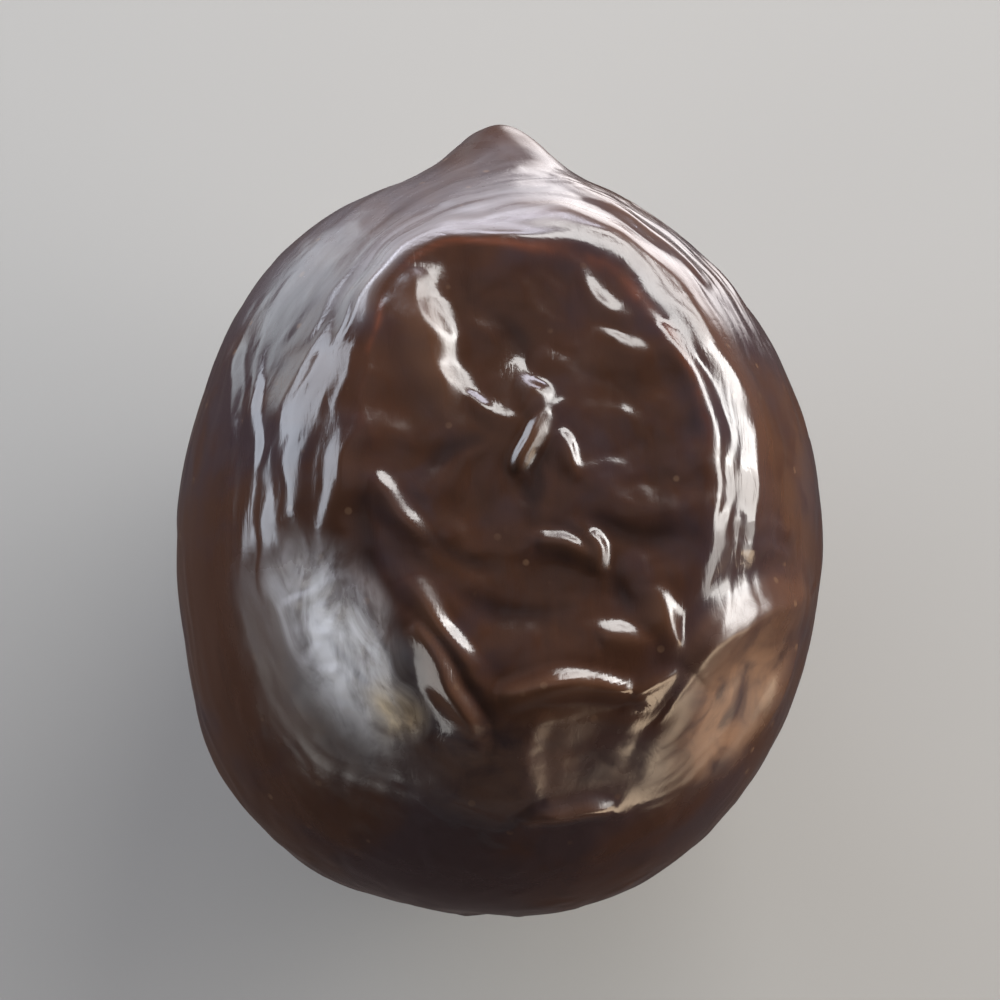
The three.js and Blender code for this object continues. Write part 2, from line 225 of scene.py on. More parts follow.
# Each fold's start, middle and end as they are seen, its height and width, and for some their own bluntness
FACE_FOLDS = [
    # Round the rim of the large hollow, on both sides of the tip
    [(-4.7, 6.1), (-3.25, 8.25), (-1.0, 9.75), 0.2, 0.7],
    [(-5.0, 0.4), (-4.8, 2.2), (-4.4, 3.6), 0.2, 0.7],
    [(-5.9, 0.2), (-6.3, 3.0), (-5.6, 6.0), 0.16, 1.0],
    [(7.6, -0.6), (6.0, 6.7), (-0.6, 10.2), 0.4, 1.3],
    [(6.3, 2.4), (5.8, 4.7), (4.7, 6.8), 0.17, 0.7],
    [(6.4, 7.5), (4.3, 9.4), (1.9, 10.9), 0.28, 0.8],
    # The creased floor of the large hollow
    [(-2.55, 8.35), (-2.1, 5.8), (-1.3, 2.7), 0.4, 1.05, 1.05],
    [(-1.9, 4.75), (-0.6, 4.15), (0.7, 3.55), 0.14, 0.42],
    [(0.25, 4.95), (0.95, 4.4), (1.1, 3.6), 0.225, 0.6, 0.8],
    [(0.6, 2.2), (0.7, 3.0), (1.4, 3.9), 0.32, 0.46],
    [(1.5, 3.25), (1.95, 2.5), (2.35, 1.7), 0.195, 0.47],
    [(2.0, 2.0), (3.9, 1.4), (6.0, 1.3), 0.13, 0.9],
    [(2.4, 8.0), (2.85, 7.2), (3.7, 6.7), 0.145, 0.52],
    [(2.3, 6.65), (3.5, 6.15), (4.8, 5.8), 0.105, 0.42],
    [(2.4, 3.8), (3.7, 3.9), (5.0, 3.2), 0.06, 0.5],
    [(0.9, 0.1), (1.8, -0.1), (2.7, -0.6), 0.26, 0.5],
    [(2.45, 0.3), (2.7, -0.25), (2.85, -1.0), 0.27, 0.5],
    # The slanting wrinkles under it, to the left
    [(-4.1, 2.15), (-3.1, 0.92), (-2.15, -0.2), 0.24, 0.45],
    [(-2.8, -1.0), (-1.75, -2.65), (-0.2, -4.4), 0.35, 0.5],
    [(-2.65, -2.4), (-1.65, -4.0), (-0.7, -5.6), 0.52, 0.62],
    # The short folds to the right of them
    [(-0.2, -4.25), (1.9, -4.12), (4.0, -4.15), 0.46, 0.42, 0.3],
    [(3.8, -4.5), (4.5, -4.0), (5.4, -3.6), 0.3, 0.5],
    [(2.7, -2.85), (3.6, -2.65), (4.8, -2.6), 0.28, 0.58],
    [(4.3, -0.9), (4.85, -2.1), (5.6, -3.4), 0.31, 0.62],
    [(5.6, -3.8), (7.1, -2.3), (9.0, -1.35), 0.80, 1.5],
    [(0.7, -8.2), (2.0, -7.9), (3.5, -7.85), 0.5, 0.45],
    [(1.0, -4.6), (0.8, -6.3), (1.0, -7.7), 0.12, 0.7],
    [(4.0, -4.9), (3.6, -5.7), (3.2, -6.4), 0.1, 0.6],
    [(7.0, 0.7), (7.9, 0.5), (8.8, 0.5), 0.16, 0.4],
    [(7.1, -0.1), (8.0, -0.2), (8.9, -0.3), 0.16, 0.4],
    # Soft wrinkles along the flanks
    [(-8.3, 6.0), (-8.0, 4.6), (-7.9, 2.8), 0.12, 0.5],
    [(-7.2, 6.2), (-7.3, 4.4), (-7.0, 2.2), 0.14, 0.5],
    [(-7.4, 0.6), (-7.6, -1.8), (-6.9, -4.4), 0.1, 0.7],
    [(-4.6, -0.4), (-3.6, -2.8), (-2.5, -5.6), 0.18, 0.8],
    [(8.9, -2.4), (8.6, -4.0), (7.8, -5.4), 0.16, 0.6],
    [(7.3, -3.4), (6.7, -5.2), (5.6, -6.8), 0.16, 0.8],
]
FOLDS = [fold([on_sunken_face(*place) for place in one[:3]], *one[3:]) for one in FACE_FOLDS]

# The fine creases between the folds of the large hollow's floor: folds that go inwards, which the skin's
# colour darkens as painted shade
CREASE_BLUNTNESS = 0.9
FLOOR_CREASES = [
    [(-0.1, 3.5), (-1.55, 2.7), (-2.6, 1.3), 0.08, 0.42],
    [(-2.7, 0.6), (-1.4, -0.2), (0.8, -0.45), 0.07, 0.4],
    [(1.15, 3.2), (0.95, 1.7), (1.1, 0.2), 0.1, 0.5],
    [(-4.15, 2.4), (-4.05, 0.1), (-3.0, -2.1), 0.07, 0.42],
    [(2.1, 1.25), (3.7, 0.5), (5.8, 0.95), 0.08, 0.5],
    [(-0.9, 7.6), (0.5, 6.2), (0.9, 4.9), 0.07, 0.6],
    [(1.7, 5.6), (3.2, 4.9), (4.9, 4.6), 0.04, 0.5],
    [(-1.9, -0.9), (0.2, -1.9), (2.2, -2.2), 0.07, 0.5],
    [(3.2, -0.2), (3.3, -1.2), (4.1, -2.0), 0.07, 0.42],
]
CREASES = [fold([on_sunken_face(*place) for place in one[:3]], *one[3:], CREASE_BLUNTNESS)
           for one in FLOOR_CREASES]

# The wrinkles round the back: how many, over which angles, how far along the fruit, and their sizes, as
# least and most
HIDDEN_FOLDS = 52
HIDDEN_FROM = 78
HIDDEN_TO = 282
HIDDEN_REACH = HALF_AXES[1] - 2.2
HIDDEN_JITTER = 0.9
HIDDEN_MIDDLES = 15
HIDDEN_HALF_LENGTHS = (1.4, 4.8)
HIDDEN_SLANTS = 26
HIDDEN_BOWS = 14
HIDDEN_FLANK_HEIGHT = 0.08
HIDDEN_HEIGHTS_UNDERNEATH = (0.1, 0.35)
HIDDEN_WIDTHS = (0.6, 1.2)
CHANCES = 7
DRAW_PITCH = 12.9898
DRAW_START = 4.1414
DRAW_SPREAD = 43758.5453


def draw(number):
    """An even-looking but repeatable number from 0 to 1."""
    wave = math.sin(number * DRAW_PITCH + DRAW_START) * DRAW_SPREAD
    return wave - math.floor(wave)


def within(least_and_most, chance):
    least, most = least_and_most
    return least + (most - least) * chance


def hidden_fold(index):
    """One of the wrinkles round the back, long and low on the flanks, and freer and higher underneath."""
    chance = [draw(index * CHANCES + k) for k in range(CHANCES)]
    share = (index + 0.5 + HIDDEN_JITTER * (chance[0] - 0.5)) / HIDDEN_FOLDS
    degrees = HIDDEN_FROM + (HIDDEN_TO - HIDDEN_FROM) * share
    freedom = math.sin(math.pi * share)
    middle = HIDDEN_MIDDLES * (chance[1] - 0.5)
    reach = within(HIDDEN_HALF_LENGTHS, chance[2])
    slant = HIDDEN_SLANTS * (chance[3] - 0.5) * freedom
    bow = HIDDEN_BOWS * (chance[4] - 0.5) * freedom
    ends = np.clip([middle - reach, middle + reach], -HIDDEN_REACH, HIDDEN_REACH)
    points = [round_axis(degrees - slant, ends[0]), round_axis(degrees + bow, middle),
              round_axis(degrees + slant, ends[1])]
    height = HIDDEN_FLANK_HEIGHT + within(HIDDEN_HEIGHTS_UNDERNEATH, chance[5]) * freedom
    return fold(points, height, within(HIDDEN_WIDTHS, chance[6]))


FOLDS += [hidden_fold(index) for index in range(HIDDEN_FOLDS)]


def fold_relief(points, normals, one):
    """How far a fold lifts the skin at each point, and how far the skin beside it dips."""
    lift = np.zeros(len(points))
    dip = np.zeros(len(points))
    middle = one["path"][FOLD_STEPS // 2]
    spread = np.linalg.norm(one["path"] - middle, axis=1).max()
    near = np.flatnonzero(np.linalg.norm(points - middle, axis=1) < spread + DIP_REACH * one["width"])
    if not len(near):
        return lift, dip
    here = points[near]
    best = np.full(len(near), np.inf)
    along = np.zeros(len(near))
    side = np.zeros(len(near))
    for step in range(FOLD_STEPS):
        start = one["path"][step]
        ahead = one["path"][step + 1] - start
        share = np.clip((here - start) @ ahead / (ahead @ ahead), 0, 1)
        gap = np.linalg.norm(here - start - share[:, None] * ahead, axis=1)
        nearer = gap < best
        best[nearer] = gap[nearer]
        along[nearer] = (step + share[nearer]) / FOLD_STEPS
        turned = np.einsum("ij,ij->i", np.cross(here - start, ahead), normals[near])
        side[nearer] = turned[nearer]
    reach = one["width"] * np.where(side > 0, GENTLE_SIDE, STEEP_SIDE)
    taper = np.sin(math.pi * np.clip(along, END_SHARE, 1 - END_SHARE)) ** one["bluntness"]
    away = np.sqrt(best**2 + CREST_RADIUS**2) - CREST_RADIUS
    lift[near] = one["height"] * taper * FOOT_SOFTNESS * np.logaddexp(0, (1 - away / reach) / FOOT_SOFTNESS)
    dip[near] = one["height"] * taper * np.exp(-((best / (DIP_WIDTH * reach)) ** 2))
    return lift, dip


# The net of the skin is a cube's, blown up, with its points crowded a little towards the creased face
NET_CELLS = 126
NET_CROWDING = 0.15
net = bmesh.new()
bmesh.ops.create_cube(net, size=2)
bmesh.ops.subdivide_edges(net, edges=net.edges, cuts=NET_CELLS - 1, use_grid_fill=True)
skin_mesh = bpy.data.meshes.new("olive_skin")
net.to_mesh(skin_mesh)
net.free()
places = np.empty(len(skin_mesh.vertices) * 3)
skin_mesh.vertices.foreach_get("co", places)
directions = unit(unit(np.tan(places.reshape(-1, 3) * math.pi / 4)) + [0, 0, NET_CROWDING])

body = directions * HALF_AXES
normals = body_normal(body)
adrift = wander(body)

# Where folds meet, the skin rises about as far as the higher one, and not as far as their sum
MEETING = 4


def met(folds):
    """How far the folds together lift the skin at each point, and how far the skin beside them dips."""
    lifts = np.zeros(len(body))
    dips = np.zeros(len(body))
    for one in folds:
        lift, dip = fold_relief(adrift, normals, one)
        lifts += lift**MEETING
        dips += dip**MEETING
    return lifts ** (1 / MEETING), dips ** (1 / MEETING)


crest, dipped = met(FOLDS)
creased, _ = met(CREASES)
sunk = -sum(hollow_relief(adrift, one) for one in HOLLOWS)
tip = TIP_HEIGHT * np.exp(-((np.hypot(body[:, 0], body[:, 2]) / TIP_RADIUS) ** 2))
stem = on_body(np.array([0, -math.cos(STEM_LEAN), -math.sin(STEM_LEAN)]))
round_stem = np.arctan2(adrift[:, 2] - stem[2], adrift[:, 0])
from_stem = np.linalg.norm(adrift - stem, axis=1)
from_stem *= 1 + PIT_WAVER * np.sin(2 * round_stem + PIT_WAVER_START)
pit = PIT_LIP_HEIGHT * np.exp(-(((from_stem - PIT_RADIUS - PIT_LIP_WIDTH) / PIT_LIP_WIDTH) ** 2))
pit -= PIT_DEPTH * np.exp(-((from_stem / PIT_RADIUS) ** 3))
gathered = np.exp(-(((from_stem - GATHERED_FROM) / GATHERED_WIDTH) ** 2))
pit += GATHER_HEIGHT * np.cos(GATHERS * round_stem + np.sin(2 * round_stem)) * gathered
pit -= STEM_DIP_DEPTH * np.exp(-((from_stem / STEM_DIP_RADIUS) ** 2))
relief = crest - DIP_SHARE * dipped - creased - sunk + np.where(body[:, 1] > 0, tip, pit)
narrowed = 1 - NARROWING * (np.maximum(body[:, 1], 0) / HALF_AXES[1]) ** 2
formed = body * np.stack([narrowed, np.ones(len(body)), narrowed], axis=1) + normals * relief[:, None]
flat_spot = FLAT_SPOT_DEPTH - HALF_AXES[2]
over = formed[:, 2] - flat_spot
eased = np.maximum(over + FLAT_SPOT_EDGE, 0) ** 2 / (4 * FLAT_SPOT_EDGE)
formed[:, 2] = flat_spot + np.where(over < FLAT_SPOT_EDGE, eased, over)
formed_low, formed_high = formed.min(0), formed.max(0)
middle = (formed_low + formed_high) / 2
formed = (formed - [middle[0], middle[1], formed_low[2]]) * MILLIMETRE
skin_mesh.vertices.foreach_set("co", formed.astype(np.float32).ravel())
skin_mesh.shade_smooth()


def fade(values, low, high):
    """0 at the low value, 1 at the high one, and smooth between them."""
    share = np.clip((values - low) / (high - low), 0, 1)
    return share**2 * (3 - 2 * share)


# A patch is whole up to the first of these shares of its reach, and gone from the second on
PATCH_EDGE = (0.3, 1.2)


def patches(*ovals):
    """The strongest of some soft-edged ovals at each point.

    Each oval is given by the x and y at which it is seen, its length, width, turn and strength.
    """
    strongest = np.zeros(len(body))
    for x, y, length, width, turn, strength in ovals:
        reach, _ = reach_of(adrift, hollow(on_face(x, y), length, width, turn, 0, 1))
        strongest = np.maximum(strongest, strength * (1 - fade(reach, *PATCH_EDGE)))
    return strongest


# The ring is how far out a point lies from the large hollow and its corner, 1 at their joint rim
RING_MEETING = 8
reaches = [reach_of(adrift, one)[0] for one in HOLLOWS[:2]]
ring = -np.log(sum(np.exp(-RING_MEETING * reach) for reach in reaches)) / RING_MEETING

# Where each kind of skin and each tint begins and ends: on the ring in shares of its reach, and elsewhere in
# millimetres
OFF_FLAT_SPOT = (0.0, 0.5)
FLOOR_TO_RIM = (0.85, 1.05)
RIM_END = (1.45, 2.0)
FLANK_START = (1.2, 1.8)
SMOOTH_CREST = (0.06, 0.22)
SMOOTHNESS = 0.85
# The mauve-grey near the tip is a painted sheen, partly dusty bloom: where it begins, thins and ends
TIP_BLOOM_AND_SHEEN_START = (1.0, 1.12)
TIP_BLOOM_AND_SHEEN_THINS = (1.3, 1.65)
TIP_BLOOM_AND_SHEEN_THINNING = 0.5
TIP_BLOOM_AND_SHEEN_ALONG = (5.0, 9.0)
TIP_BLOOM_AND_SHEEN_UPWARDS = (-3.0, 4.0)
TIP_BLOOM_AND_SHEEN_RIGHT_END = (1.2, 3.2)
TIP_BLOOM_AND_SHEEN_LOSS = 0.85
RED_EDGE_AT = 0.97
RED_EDGE_WIDTH = 0.03
RED_EDGE_ALONG = (1.0, 5.0)
TIP_SKIN_END = (1.4, 2.6)
STRETCHED_CREST = (0.04, 0.16)
STRETCHED_END = (0.8, 1.0)
SCAR_EDGE = (PIT_RADIUS * 0.75, PIT_RADIUS * 1.35)
rightwards, along_axis, upwards = body.T
off_flat_spot = fade(over, *OFF_FLAT_SPOT)
beyond_floor = fade(ring, *FLOOR_TO_RIM)
from_tip = np.linalg.norm(body - [0, HALF_AXES[1], 0], axis=1)

# What the fine wrinkles and the colours go by, point by point
SKIN_MARKS = {
    "crest": crest,
    "creased": creased,
    "sunk": sunk,
    "ring": ring,
    "rim_skin": beyond_floor * (1 - fade(ring, *RIM_END)) * off_flat_spot,
    "flank_skin": fade(ring, *FLANK_START) * off_flat_spot,
    "floor_skin": (1 - beyond_floor) * (1 - SMOOTHNESS * fade(crest, *SMOOTH_CREST)),
    "crinkled": patches((8.3, -0.1, 3.2, 3.0, 0, 1), (-5.0, -3.0, 6.5, 3.2, -22, 1)),
    # The pale patch on the left: partly dusty bloom, partly a painted soft highlight
    "bloom_and_highlight": patches((-4.8, -2.9, 7.0, 3.8, -24, 1), (-3.1, -4.9, 2.6, 1.9, -24, 1)),
    # Painted mauve-grey sheen round the rim near the tip, partly bloom
    "tip_bloom_and_sheen": (fade(along_axis, *TIP_BLOOM_AND_SHEEN_ALONG) * fade(ring, *TIP_BLOOM_AND_SHEEN_START)
                  * fade(upwards, *TIP_BLOOM_AND_SHEEN_UPWARDS)
                  * (1 - TIP_BLOOM_AND_SHEEN_THINNING * fade(ring, *TIP_BLOOM_AND_SHEEN_THINS))
                  * (1 - TIP_BLOOM_AND_SHEEN_LOSS * fade(rightwards, *TIP_BLOOM_AND_SHEEN_RIGHT_END))),
    # Its lower corner is tinted beige as a painted warm reflection
    "warm_highlight_corner": patches((-3.05, -5.1, 2.6, 2.0, -24, 1)),
    "red_edge": (np.exp(-(((ring - RED_EDGE_AT) / RED_EDGE_WIDTH) ** 2))
                 * fade(along_axis, *RED_EDGE_ALONG)),
    # A paler warm brown painted as warm sheen: the lower right, the right edge, and faintly below the hollow
    "painted_warm_sheen": patches((7.2, -4.6, 6.5, 4.4, 24, 1), (8.9, 1.5, 10.0, 4.4, 0, 0.12),
                      (0.6, -6.6, 4.6, 8.0, 0, 0.22)),
    "dull": patches((6.8, -4.8, 7.5, 5.4, 24, 1), (2.4, -6.4, 5.0, 6.0, 0, 0.45),
                    (-6.0, -4.2, 9.5, 4.6, -24, 1)),
    "tip_skin": 1 - fade(from_tip, *TIP_SKIN_END),
    "stretched": fade(crest, *STRETCHED_CREST) * (1 - fade(ring, *STRETCHED_END)),
    "scar": 1 - fade(from_stem, *SCAR_EDGE),
}
for name, values in SKIN_MARKS.items():
    skin_mesh.attributes.new(name, "FLOAT", "POINT").data.foreach_set("value", values.astype(np.float32))

# The sockets of a Mix node that mixes colours
COLOUR_MIX_SHARE = 0
COLOUR_MIX_FIRST = 6
COLOUR_MIX_SECOND = 7
COLOUR_MIX_RESULT = 2


class Socket:
    """A node's output. Python's operators on it add Math and Vector Math nodes."""

    def __init__(self, output):
        self.output = output

    @staticmethod
    def node(tree, kind, settings, inputs, output=0):
        """Add any node: its settings first, and then a value or a link for each input."""
        made = tree.nodes.new(kind)
        for name, value in settings.items():
            setattr(made, name, value)
        for name, value in inputs.items():
            if isinstance(value, Socket):
                tree.links.new(value.output, made.inputs[name])
            else:
                made.inputs[name].default_value = value
        return Socket(made.outputs[output])

    @staticmethod
    def has_parts(side):
        if isinstance(side, Socket):
            return side.output.type in ("VECTOR", "RGBA")
        return isinstance(side, tuple)

    def reckon(self, operation, *sides):
        tree = self.output.id_data
        if not any(Socket.has_parts(side) for side in sides):
            return Socket.node(tree, "ShaderNodeMath", {"operation": operation}, dict(enumerate(sides)))
        parts = [(side,) * 3 if isinstance(side, (int, float)) else side for side in sides]
        return Socket.node(tree, "ShaderNodeVectorMath", {"operation": operation}, dict(enumerate(parts)))

    def __add__(self, other):
        return self.reckon("ADD", self, other)

    def __radd__(self, other):
        return self.reckon("ADD", other, self)

    def __sub__(self, other):
        return self.reckon("SUBTRACT", self, other)

    def __rsub__(self, other):
        return self.reckon("SUBTRACT", other, self)

    def __mul__(self, other):
        return self.reckon("MULTIPLY", self, other)

    def __rmul__(self, other):
        return self.reckon("MULTIPLY", other, self)

    def __truediv__(self, other):
        return self.reckon("DIVIDE", self, other)

    def __pow__(self, other):
        return self.reckon("POWER", self, other)

    def __abs__(self):
        return Socket.node(self.output.id_data, "ShaderNodeMath", {"operation": "ABSOLUTE"}, {0: self})

    def rise(self, low, high):
        """0 at the low value, 1 at the high one, and smooth between them."""
        return Socket.node(self.output.id_data, "ShaderNodeMapRange", {"interpolation_type": "SMOOTHSTEP"},
                           {"Value": self, "From Min": low, "From Max": high})

    def between(self, first, second):
        """The colour that lies this share of the way from the first to the second."""
        return Socket.node(self.output.id_data, "ShaderNodeMix", {"data_type": "RGBA"}, {
            COLOUR_MIX_SHARE: self, COLOUR_MIX_FIRST: first, COLOUR_MIX_SECOND: second}, COLOUR_MIX_RESULT)


# The colours of the skin. The purple-brown is its own tone made a little bluer as a painted sheen; the warm
# sheen brown, the greys and the beige are painted sheen and highlight, the greys partly bloom
PURPLE_BROWN = (0.029, 0.0172, 0.0192, 1)
BLACK_BROWN = (0.012, 0.0065, 0.006, 1)
CHESTNUT = (0.040, 0.0165, 0.0095, 1)
HOLLOW_BROWN = (0.032, 0.0135, 0.0075, 1)
WARM_SHEEN_BROWN = (0.23, 0.128, 0.075, 1)
CREST_BROWN = (0.10, 0.048, 0.027, 1)
RED_BROWN = (0.10, 0.032, 0.017, 1)
LENTICEL_TAN = (0.13, 0.075, 0.045, 1)
BLOOM_AND_HIGHLIGHT_GREY = (0.58, 0.56, 0.565, 1)
WARM_HIGHLIGHT_BEIGE = (0.58, 0.45, 0.29, 1)
BLOOM_AND_SHEEN_GREY = (0.34, 0.32, 0.33, 1)
SCAR_BROWN = (0.024, 0.014, 0.010, 1)

skin = bpy.data.materials.new("oily_olive_skin")
skin.use_nodes = True
shading = skin.node_tree


def mark(name):
    return Socket.node(shading, "ShaderNodeAttribute", {"attribute_name": name}, {}, "Fac")


def mottle(vector, size, detail=3.0, distortion=0.0):
    """Cloudy noise with clouds of that size in millimetres."""
    return Socket.node(shading, "ShaderNodeTexNoise", {}, {
        "Vector": vector, "Scale": 1 / size, "Detail": detail, "Roughness": 0.55, "Distortion": distortion})


# How much of each tint shows where it is strongest
HOLLOW_SHARES = (0.3, 0.9)
WARM_SHEEN_SHARE = 0.8
CREASE_SHADE_SHARE = 0.6
STREAKED_SHARE = 0.2
CREST_SHARE = 0.4
RED_SHARE = 0.8
SPECK_SHARE = 0.5
BLOOM_AND_HIGHLIGHT_SHARES = (0.2, 0.95)
TIP_BLOOM_AND_SHEEN_SHARES = (0.14, 0.52)
TIP_SKIN_CLEARING = 0.5


def shares(amount, least_and_most):
    """The amount, from 0 to 1, as a share between the least and the most."""
    least, most = least_and_most
    return amount * (most - least) + least


# The skin's depth of colour changes in clouds, darkens in streaks along the fruit, and pales over the crests
LENGTHWISE = (1.0, 0.22, 1.0)
place = Socket.node(shading, "ShaderNodeTexCoord", {}, {}, "Object") * (1 / MILLIMETRE)
lengthwise_place = place * LENGTHWISE
ripeness = mottle(place, size=5.0, detail=4.0, distortion=0.4).rise(0.40, 0.62)
colour = ripeness.between(PURPLE_BROWN, CHESTNUT)
floor_tint = shares(mottle(place, size=1.7, distortion=0.5).rise(0.36, 0.62), HOLLOW_SHARES)
colour = (mark("sunk").rise(0.15, 1.1) * floor_tint).between(colour, HOLLOW_BROWN)
# Painted warm sheen: a paler warm brown, in clouds, mostly over the lower right
warm_sheen_clouds = mottle(place, size=1.6, detail=4.0, distortion=0.6).rise(0.3, 0.6)
colour = (mark("painted_warm_sheen") * warm_sheen_clouds * WARM_SHEEN_SHARE).between(colour, WARM_SHEEN_BROWN)
# Painted shade: the skin darkens towards black-brown in the fine creases
colour = (mark("creased").rise(0.01, 0.07) * CREASE_SHADE_SHARE).between(colour, BLACK_BROWN)
streaks = mottle(lengthwise_place, size=0.9, detail=4.0, distortion=0.5).rise(0.50, 0.75)
colour = (streaks * STREAKED_SHARE).between(colour, BLACK_BROWN)
colour = (mark("crest").rise(0.08, 0.38) * CREST_SHARE).between(colour, CREST_BROWN)
red_clouds = mottle(place, size=2.2).rise(0.3, 0.6)
colour = (mark("red_edge") * red_clouds * RED_SHARE).between(colour, RED_BROWN)

# Small pale specks, where the fruit breathed as it grew, stand here and there
SPECK_SPACING = 1.1
SPECK_EDGE = (0.07, 0.13)
from_speck = Socket.node(shading, "ShaderNodeTexVoronoi", {}, {
    "Vector": place, "Scale": 1 / SPECK_SPACING}, "Distance")
specks = (1 - from_speck.rise(*SPECK_EDGE)) * mottle(place, size=2.4).rise(0.45, 0.6)
colour = (specks * SPECK_SHARE).between(colour, LENTICEL_TAN)

# The pale patch on the left lies in wisps: partly dusty bloom, partly a painted soft highlight, with a
# painted warm reflection at its lower corner. Round the rim near the tip a painted mauve-grey sheen, partly
# bloom, lies in streaks.
ROUND_THE_RIM = 0.14
ACROSS_THE_RIM = 11
wisps = mottle(place * (1.0, 0.5, 1.0), size=1.4, detail=4.0, distortion=1.2).rise(0.32, 0.66)
hazy_bloom_and_highlight = mark("bloom_and_highlight") * shares(wisps, BLOOM_AND_HIGHLIGHT_SHARES)
bloom_and_highlight_colour = mark("warm_highlight_corner").between(BLOOM_AND_HIGHLIGHT_GREY, WARM_HIGHLIGHT_BEIGE)
rim_streaks = Socket.node(shading, "ShaderNodeTexNoise", {"noise_dimensions": "4D"}, {
    "Vector": place * ROUND_THE_RIM, "W": mark("ring") * ACROSS_THE_RIM, "Scale": 1.0, "Detail": 4.0,
    "Roughness": 0.6, "Distortion": 0.2})
# Painted sheen: a mauve-grey round the rim near the tip, in streaks, partly bloom
tip_bloom_and_sheen = mark("tip_bloom_and_sheen") * (1 - mark("tip_skin") * TIP_SKIN_CLEARING)
tip_bloom_and_sheen = tip_bloom_and_sheen * shares(rim_streaks.rise(0.25, 0.7), TIP_BLOOM_AND_SHEEN_SHARES)
colour = hazy_bloom_and_highlight.between(tip_bloom_and_sheen.between(colour, BLOOM_AND_SHEEN_GREY), bloom_and_highlight_colour)
colour = mark("scar").between(colour, SCAR_BROWN)

# The finest relief is too fine for the net: hair-thin creases along the fruit, and pores
GRAIN_DEPTH = 0.005 * MILLIMETRE
CREASES_IN_GRAIN = 0.7
PORES_IN_GRAIN = 0.3
fine_creases = abs(mottle(lengthwise_place, size=0.5, distortion=0.8) * 2 - 1) ** 0.5
pores = mottle(place, size=0.12, detail=2.0)
grain = fine_creases * CREASES_IN_GRAIN + pores * PORES_IN_GRAIN
fine_relief = Socket.node(shading, "ShaderNodeBump", {}, {
    "Strength": 1.0, "Distance": GRAIN_DEPTH, "Height": grain}, "Normal")

# How rough the oily skin is, and how much rougher it is under the bloom with its painted sheen and highlight,
# and where it is dull, stretched or scarred
OILY_ROUGHNESS = 0.09
UNEVEN_OIL = 0.12
BLOOM_AND_SHEEN_ROUGHNESS = 0.5
SCARRED = 0.6
DULL = 0.36
STRETCHED = 0.07
ON_THE_TIP = 0.12
roughness = mottle(place, size=0.8, detail=4.0).rise(0.3, 0.75) * UNEVEN_OIL + OILY_ROUGHNESS
roughness = roughness + (hazy_bloom_and_highlight + tip_bloom_and_sheen) * BLOOM_AND_SHEEN_ROUGHNESS + mark("scar") * SCARRED
roughness = roughness + mark("dull") * DULL + mark("stretched") * STRETCHED + mark("tip_skin") * ON_THE_TIP

surface = shading.nodes["Principled BSDF"]
shading.links.new(colour.output, surface.inputs["Base Color"])
shading.links.new(roughness.output, surface.inputs["Roughness"])
shading.links.new(fine_relief.output, surface.inputs["Normal"])
surface.inputs["Specular IOR Level"].default_value = 0.5
surface.inputs["Coat Weight"].default_value = 0.09
surface.inputs["Coat Roughness"].default_value = 0.3

# The fine wrinkles follow the skin: round the rim of the large hollow, along the flanks, and every way on
# the floor of the hollow
wrinkling = bpy.data.node_groups.new("fine_wrinkles", "GeometryNodeTree")
WRINKLE_SIZES = {
    "Rim wrinkle height": 0.045 * MILLIMETRE,
    "Flank wrinkle height": 0.04 * MILLIMETRE,
    "Floor wrinkle height": 0.055 * MILLIMETRE,
    "Crinkle height": 0.06 * MILLIMETRE,
    "Wrinkle spacing": 1.5 * MILLIMETRE,
    "Seed": 3.0,
}
wrinkling.interface.new_socket("Geometry", in_out="INPUT", socket_type="NodeSocketGeometry")
for name in WRINKLE_SIZES:
    wrinkling.interface.new_socket(name, in_out="INPUT", socket_type="NodeSocketFloat")
wrinkling.interface.new_socket("Skin", in_out="INPUT", socket_type="NodeSocketMaterial")
wrinkling.interface.new_socket("Geometry", in_out="OUTPUT", socket_type="NodeSocketGeometry")


def given(name):
    return Socket.node(wrinkling, "NodeGroupInput", {}, {}, name)


def stored(name):
    return Socket.node(wrinkling, "GeometryNodeInputNamedAttribute", {"data_type": "FLOAT"}, {"Name": name})


# How far up its wrinkles' height the plain skin lies
UNCREASED = 0.7


def creases(vector, across, sharpness):
    """Long thin grooves, where a slow noise passes its middle value."""
    noise = Socket.node(wrinkling, "ShaderNodeTexNoise", {"noise_dimensions": "4D"}, {
        "Vector": vector, "W": across + given("Seed"), "Scale": 1.0, "Detail": 2.0, "Roughness": 0.5,
        "Distortion": 0.3})
    return (abs(noise * 2 - 1) * sharpness).rise(0.0, 1.0) - UNCREASED


# How wide the ring is in wrinkles, and how close the wrinkles lie on each kind of skin
RING_WIDTH = 6.0
RIM_PATTERN = 0.22
FLANK_PATTERN = (0.8, 0.2, 0.8)
FLOOR_PATTERN = 0.75
CRINKLE_PATTERN = (1.4, 2.2, 1.4)
spot = Socket.node(wrinkling, "GeometryNodeInputPosition", {}, {}) / given("Wrinkle spacing")
rim_creases = creases(spot * RIM_PATTERN, stored("ring") * RING_WIDTH, sharpness=2.6)
flank_creases = creases(spot * FLANK_PATTERN, 7.0, sharpness=2.6)
floor_creases = creases(spot * FLOOR_PATTERN, 3.0, sharpness=2.2)
crinkles = creases(spot * CRINKLE_PATTERN, 5.0, sharpness=2.0)
rise_of_skin = (rim_creases * given("Rim wrinkle height") * stored("rim_skin")
                + flank_creases * given("Flank wrinkle height") * stored("flank_skin")
                + floor_creases * given("Floor wrinkle height") * stored("floor_skin")
                + crinkles * given("Crinkle height") * stored("crinkled"))
outwards = Socket.node(wrinkling, "GeometryNodeInputNormal", {}, {})
moved = Socket.node(wrinkling, "GeometryNodeSetPosition", {}, {
    "Geometry": given("Geometry"), "Offset": outwards * rise_of_skin})
whole = Socket.node(wrinkling, "GeometryNodeRealizeInstances", {}, {"Geometry": moved})
